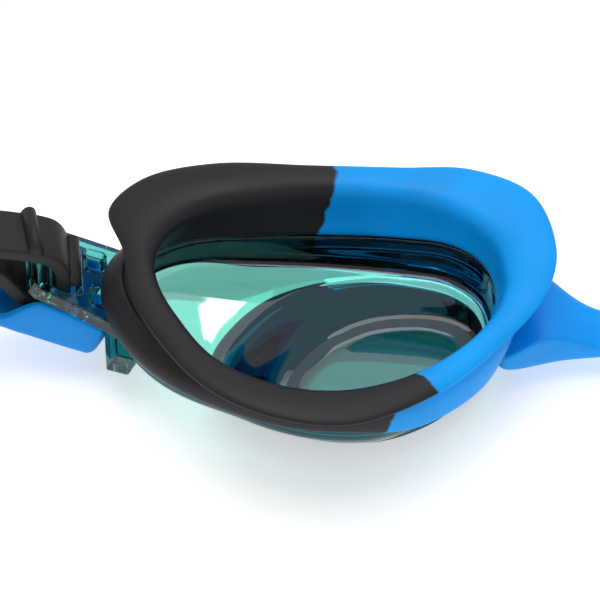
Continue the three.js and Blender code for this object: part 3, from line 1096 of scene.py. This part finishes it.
@dataclass
class NoseBridge:
    """The soft bridge between the seals, wide at the eyes and thin in the middle."""

    sections: tuple[tuple[float, ...], ...] = (
        # distance from the middle, low y, high y, low z, near top z, far top z
        (20.5, -2.5, 14.5, 6.6, 9.0, 12.6),
        (17.0, -1.2, 16.2, 4.8, 9.2, 12.4),
        (14.0, 0.4, 16.2, 3.7, 10.2, 11.4),
        (11.5, 1.4, 14.9, 3.4, 9.9, 10.2),
        (9.0, 1.9, 12.8, 3.4, 8.8, 9.0),
        (6.5, 2.2, 11.3, 3.4, 7.4, 7.9),
        (4.0, 2.4, 10.4, 3.5, 6.3, 7.2),
        (1.5, 2.6, 10.0, 3.6, 5.8, 7.0),
    )

    def section(self, x: float, y0: float, y1: float, z0: float, near: float, far: float) -> list[Vector]:
        """One section, with a firm edge at its near top and soft ones elsewhere.

        Args:
            x: Where the section is.
            y0: Its low y, from the eyes' centres.
            y1: Its high y.
            z0: Its underside.
            near: Its top at the low y.
            far: Its top at the high y.

        Returns:
            The section's points, in the goggles' millimetres.
        """
        guide = [
            (y0 + 0.1, (z0 + near) / 2),
            (y0 + 0.15, near - 0.35),
            (y0 + 0.45, near),
            (y0 + 1.0, near + 0.05),
            (y0 * 0.6 + y1 * 0.4, near + (far - near) * 0.35),
            (y0 * 0.25 + y1 * 0.75, far - 0.1),
            (y1 - 0.6, far - 0.6),
            (y1, (z0 + far) / 2),
            (y1 - 0.7, z0 + 0.5),
            ((y0 + y1) / 2, z0),
            (y0 + 0.9, z0 + 0.1),
            (y0 + 0.2, z0 + 0.7),
        ]
        return [Vector((x, EYE_Y + y, z)) for y, z in guide]

    def build(self) -> bpy.types.Object:
        """Builds the bridge.

        Returns:
            The bridge.
        """
        rows = [self.section(-x, *rest) for x, *rest in self.sections]
        rows += [self.section(x, *rest) for x, *rest in reversed(self.sections)]
        piece = Piece("nose_bridge", "blue_silicone", BLUE_FINISH, ("nose_bridge_left", "nose_bridge_right"))
        made = piece.place(loft(rows, closed=False), None, 3)
        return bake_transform(made)


@dataclass
class HeadStrap:
    """The ribbed strap, from one tail, round the bars, behind the head and round the other bars."""

    arm: StrapArm
    width: float = 7.8
    back_width: float = 10.8
    thick: float = 2.2
    loop: tuple[tuple[float, float], ...] = (
        # x and z in the temple's side view, from the keeper round the bars to the tail
        (-62, 24), (-57, 23.4), (-53, 22.9), (-50.3, 21.7), (-48.2, 19.6), (-46.6, 16.8), (-44.8, 14),
        (-42.6, 12.4), (-40.6, 12.6), (-39.5, 14.4), (-39.15, 17), (-39.2, 19.6), (-40.2, 22),
        (-42.4, 23.3), (-45, 24.1), (-48, 24.9), (-51, 25.45), (-54, 25.75), (-58, 26.1), (-62, 26.5),
        (-65.5, 26.9),
    )
    back: tuple[tuple[float, float, float], ...] = (
        # from the keeper to the middle of the back, in the left eye's frame
        (-66.5, 7.5, 22.9), (-71.8, 11, 18.2), (-75.3, 19.5, 12.5), (-76.4, 32, 8.6), (-75.6, 49.5, 6.6),
        (-68.5, 70, 6), (-47, 89.5, 5.85), (-9, 100.5, 5.8), (43.5, 103.5, 5.8),
    )
    ribs: tuple[float, ...] = (32.3, 39.9, 47.5)

    def lean(self, x: float, z: float) -> Vector:
        """A point of the temple's side view, in the left eye's frame."""
        out = Matrix.Rotation(self.arm.lean, 3, "Z") @ Vector((x - self.arm.root.x, 0, 0))
        return Vector((self.arm.root.x + out.x, self.arm.root.y + out.y, z))

    def half(self) -> list[tuple[Vector, Vector, float]]:
        """The strap's left half, station by station.

        Returns:
            Middle, width direction and width at each station, from the middle of the back to the left tail.
        """
        guide = [Vector(p) for p in reversed(self.back)] + [self.lean(x, z) for x, z in self.loop]
        points = curve_of(guide, 8)
        bar = Matrix.Rotation(self.arm.lean, 3, "Z") @ Vector((0, 1, 0))
        made = []
        for p in points:
            across = bar.lerp(Vector((0, 0, -1)), smoothstep(p.y, 9, 44)).normalized()
            width = self.width + (self.back_width - self.width) * smoothstep(p.y, 20, 60)
            made.append((p + Vector((-EYE_X, EYE_Y, 0)), across, width))
        return made

    def section(self, at: Vector, along: Vector, across: Vector, width: float) -> list[Vector]:
        """The strap's rounded section at one station.

        Args:
            at: The station's middle.
            along: The strap's direction.
            across: The direction of its width.
            width: Its width.

        Returns:
            The section's points.
        """
        side = (across - along * across.dot(along)).normalized()
        face = side.cross(along).normalized()
        flat = round_section(0, -width / 2, width / 2, -self.thick / 2, self.thick / 2, 0.5)
        return [at + side * p.y + face * p.z for p in flat]

    def build(self) -> bpy.types.Object:
        """Builds the whole strap.

        Returns:
            The strap.
        """
        left = self.half()
        flip = Matrix.Diagonal((-1, 1, 1))
        right = [(flip @ p, -(flip @ a), w) for p, a, w in left[1:]]
        stations = [*reversed(left), *right]
        rows = []
        for i, (at, across, width) in enumerate(stations):
            before, after = stations[max(i - 1, 0)][0], stations[min(i + 1, len(stations) - 1)][0]
            rows.append(self.section(at, (after - before).normalized(), across, width))
        bm = loft(rows, closed=False)
        for side in Side:
            self.add_ribs(bm, side)
        piece = Piece("head_strap", "black_silicone", STRAP_FINISH, ("strap_left", "strap_right"))
        made = piece.place(bm, None)
        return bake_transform(made)

    def add_ribs(self, bm: bmesh.types.BMesh, side: Side) -> None:
        """Adds the round-topped ribs across one side's loop.

        Args:
            bm: The strap's mesh, in the goggles' millimetres.
            side: The side that gets them.
        """
        route = curve_of([Vector((x, 0, z)) for x, z in self.loop], 16)
        gone, places = 0.0, list(self.ribs)
        for a, b in zip(route, route[1:]):
            gone += (b - a).length
            if places and gone >= places[0]:
                places.pop(0)
                along = (b - a).normalized()
                out = Vector((along.z, 0, -along.x))
                self.add_rib(bm, side, b + out * (self.thick / 2), along, out)

    def add_rib(self, bm: bmesh.types.BMesh, side: Side, foot: Vector, along: Vector, out: Vector) -> None:
        """Adds one rib.

        Args:
            bm: The strap's mesh.
            side: The side it is on.
            foot: The middle of its foot, in the temple's side view.
            along: The strap's direction there.
            out: The direction it stands out in.
        """
        half_width, height, sunk, steps = 1.15, 1.75, 0.2, 11
        rows = []
        for share in (-1.0, -0.97, -0.9, 0.9, 0.97, 1.0):
            pull = 1 - 0.5 * max(0.0, (abs(share) - 0.88) / 0.12) ** 2
            slant = along * (share * 0.5)
            bar = Matrix.Rotation(self.arm.lean, 3, "Z") @ Vector((0, share * (self.width / 2 + 0.1), 0))
            ring = []
            for k in range(steps + 1):
                turn = math.pi * k / steps
                aside = along * (half_width * pull * math.cos(turn))
                p = foot + slant + aside + out * (height * pull * math.sin(turn) - sunk)
                v = self.lean(p.x, p.z) + bar + Vector((-EYE_X, EYE_Y, 0))
                ring.append(Vector((v.x * side.value, v.y, v.z)))
            rows.append(ring)
        rib = loft(rows, closed=False)
        mesh = bpy.data.meshes.new("rib")
        rib.to_mesh(mesh)
        rib.free()
        bm.from_mesh(mesh)
        bpy.data.meshes.remove(mesh)


@dataclass
class TempleCover:
    """The blue channel clipped under the arm, whose walls fall away towards a flat tongue."""

    side: Side
    arm: StrapArm
    wall: float = 1.3
    sections: tuple[tuple[float, ...], ...] = (
        # along the arm, near y, far y, underside z, wall top z, channel floor z
        (3.9, -7.7, 5.4, -6.4, -2.3, -2.35),
        (4.05, -7.9, 5.7, -6.7, -2.0, -2.05),
        (4.9, -8.2, 6.4, -7.2, -1.4, -1.45),
        (5.1, -8.15, 6.4, -7.2, -1.4, -6.0),
        (8.5, -7.4, 7, -7.9, -1.4, -6.7),
        (12, -6.7, 7.1, -8.35, -1.4, -7.1),
        (14.4, -6.2, 7.2, -8.7, -1.4, -7.5),
        (15.4, -6, 7.15, -8.9, -2.1, -7.7),
        (16.4, -5.8, 7.1, -9, -3.8, -7.75),
        (17.4, -5.65, 7, -9, -5.8, -7.7),
        (18.4, -5.5, 6.9, -9, -7.1, -7.5),
        (20, -5.35, 6.6, -8.85, -7.3, -7.35),
        (22, -5.2, 6.2, -8.6, -7.2, -7.25),
        (26, -4.6, 5, -8.1, -6.9, -6.95),
        (27.6, -3.4, 3.8, -7.85, -6.95, -7),
        (28, -2.6, 2.9, -7.75, -7, -7.05),
    )

    def section(self, x: float, y0: float, y1: float, z0: float, top: float, floor: float) -> list[Vector]:
        """One channel section with eased corners, which is flat where the floor meets the wall top.

        Args:
            x: Where the section is along the arm.
            y0: Its near side.
            y1: Its far side.
            z0: Its underside.
            top: The top of its walls.
            floor: The channel's floor.

        Returns:
            The section's points, in the arm's own frame.
        """
        r = min(1.0, 0.4 * (top - z0))
        ease = min(0.3, (top - floor) / 2)
        foot = min(0.5, (top - floor) / 2)
        w = self.wall
        near = [
            (r, z0),
            (0.3 * r, z0 + 0.3 * r),
            (0, z0 + r),
            (0, top - ease),
            (0.3, top),
            (w - 0.3, top),
            (w, top - ease),
            (w, floor + foot),
            (w + 0.5, floor),
        ]
        left = [Vector((x, y0 + y, z)) for y, z in near]
        return left + [Vector((x, y1 - y, z)) for y, z in reversed(near)]

    def build(self) -> bpy.types.Object:
        """Builds the cover and makes it ride on its side.

        Returns:
            The cover.
        """
        bm = loft([self.section(*values) for values in self.sections], closed=False)
        bmesh.ops.transform(bm, matrix=self.arm.place(), verts=bm.verts)
        bmesh.ops.recalc_face_normals(bm, faces=bm.faces)
        word = self.side.word
        piece = Piece(f"arm_cover_{word}", "blue_plastic", COVER_FINISH, (f"temple_cover_{word}",))
        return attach(piece.place(bm, self.side, 2), self.side.body)


@dataclass
class CarriedOver:
    """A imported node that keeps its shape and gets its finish."""

    node: str
    finish: Finish

    def dress(self) -> None:
        """Gives the node its material."""
        material = self.finish.material()
        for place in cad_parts[self.node].material_slots:
            place.material = material
        log.info("%s: carried over", self.node)


# ---- Studio --------------------------------------------------------------------------------------


@dataclass(frozen=True)
class SoftBox:
    """A rectangular soft lamp: where it is and what it faces in metres, and its power in watts."""

    name: str
    at: tuple[float, float, float]
    aim: tuple[float, float, float]
    size: tuple[float, float]
    power: float

    def build(self) -> None:
        """Adds the lamp."""
        data = bpy.data.lights.new(self.name, "AREA")
        data.shape = "RECTANGLE"
        data.size, data.size_y = self.size
        data.energy = self.power
        lamp = new_object(self.name, data)
        lamp.location = self.at
        lamp.rotation_euler = (Vector(self.aim) - Vector(self.at)).to_track_quat("-Z", "Y").to_euler()


@dataclass(frozen=True)
class Studio:
    """The camera, the pale table and the soft lights."""

    target: tuple[float, float, float] = (-48.2, EYE_Y + 10.07, 8.46)
    elevation: float = 50.0
    distance: float = 450.0
    width_at_target: float = 88.24
    table_size: float = 6.0
    surroundings: float = 0.62
    lamps: tuple[SoftBox, ...] = (
        SoftBox("top", (-0.1, 0.1, 1.2), (-0.045, -0.03, 0.01), (0.9, 0.9), 7.0),
        SoftBox("side", (0.33, 0.77, 0.96), (-0.055, -0.035, 0.01), (0.8, 0.5), 1.5),
        SoftBox("window", (0.265, 0.785, 0.94), (-0.055, -0.035, 0.01), (0.07, 0.02), 0.07),
    )

    def camera(self) -> None:
        """Adds the camera."""
        data = bpy.data.cameras.new("camera")
        data.sensor_width = 36
        data.lens = data.sensor_width * self.distance / self.width_at_target
        data.clip_start = 0.01
        lens = new_object("camera", data)
        tilt = math.radians(self.elevation)
        back = Vector((0, -math.cos(tilt), math.sin(tilt)))
        lens.location = (Vector(self.target) + back * self.distance) * MM
        lens.rotation_euler = Euler((math.pi / 2 - tilt, 0, 0))
        bpy.context.scene.camera = lens

    def table(self) -> None:
        """Adds the pale table, just under the goggles."""
        bm = bmesh.new()
        bmesh.ops.create_grid(bm, x_segments=1, y_segments=1, size=self.table_size)
        bmesh.ops.translate(bm, vec=(0, 0, -0.0002), verts=bm.verts)
        mesh = bpy.data.meshes.new("table")
        bm.to_mesh(mesh)
        bm.free()
        table = new_object("table", mesh)
        material, nodes, output = new_material("table_white")
        shader = nodes.add(
            "ShaderNodeBsdfPrincipled",
            Base_Color=(0.92, 0.92, 0.92, 1),
            Roughness=0.7,
            Specular_IOR_Level=0.1,
            Emission_Color=(1, 1, 1, 1),
            Emission_Strength=0.42,
        )
        nodes.link(shader.outputs["BSDF"], output.inputs["Surface"])
        mesh.materials.append(material)

    def build(self) -> None:
        """Builds the table, the lights and the pale surroundings."""
        self.table()
        world = bpy.data.worlds.new("studio")
        world.use_nodes = True
        background = world.node_tree.nodes["Background"]
        background.inputs["Color"].default_value = (1, 1, 1, 1)
        background.inputs["Strength"].default_value = self.surroundings
        bpy.context.scene.world = world
        for lamp in self.lamps:
            lamp.build()
        bpy.context.scene.view_settings.view_transform = "Standard"
        bpy.context.scene.cycles.use_denoising = True


def main() -> None:
    """Builds the goggles and their studio."""
    studio = Studio()
    studio.camera()
    eye = Eye()
    for side in Side:
        arm = StrapArm(side)
        Lens(side, eye).build()
        arm.build()
        Seal(side, eye).build()
        TempleCover(side, arm).build()
        CarriedOver(f"strap_keeper_{side.word}", KEEPER_FINISH).dress()
    NoseBridge().build()
    HeadStrap(StrapArm(Side.LEFT)).build()
    studio.build()


if __name__ == "__main__":
    main()
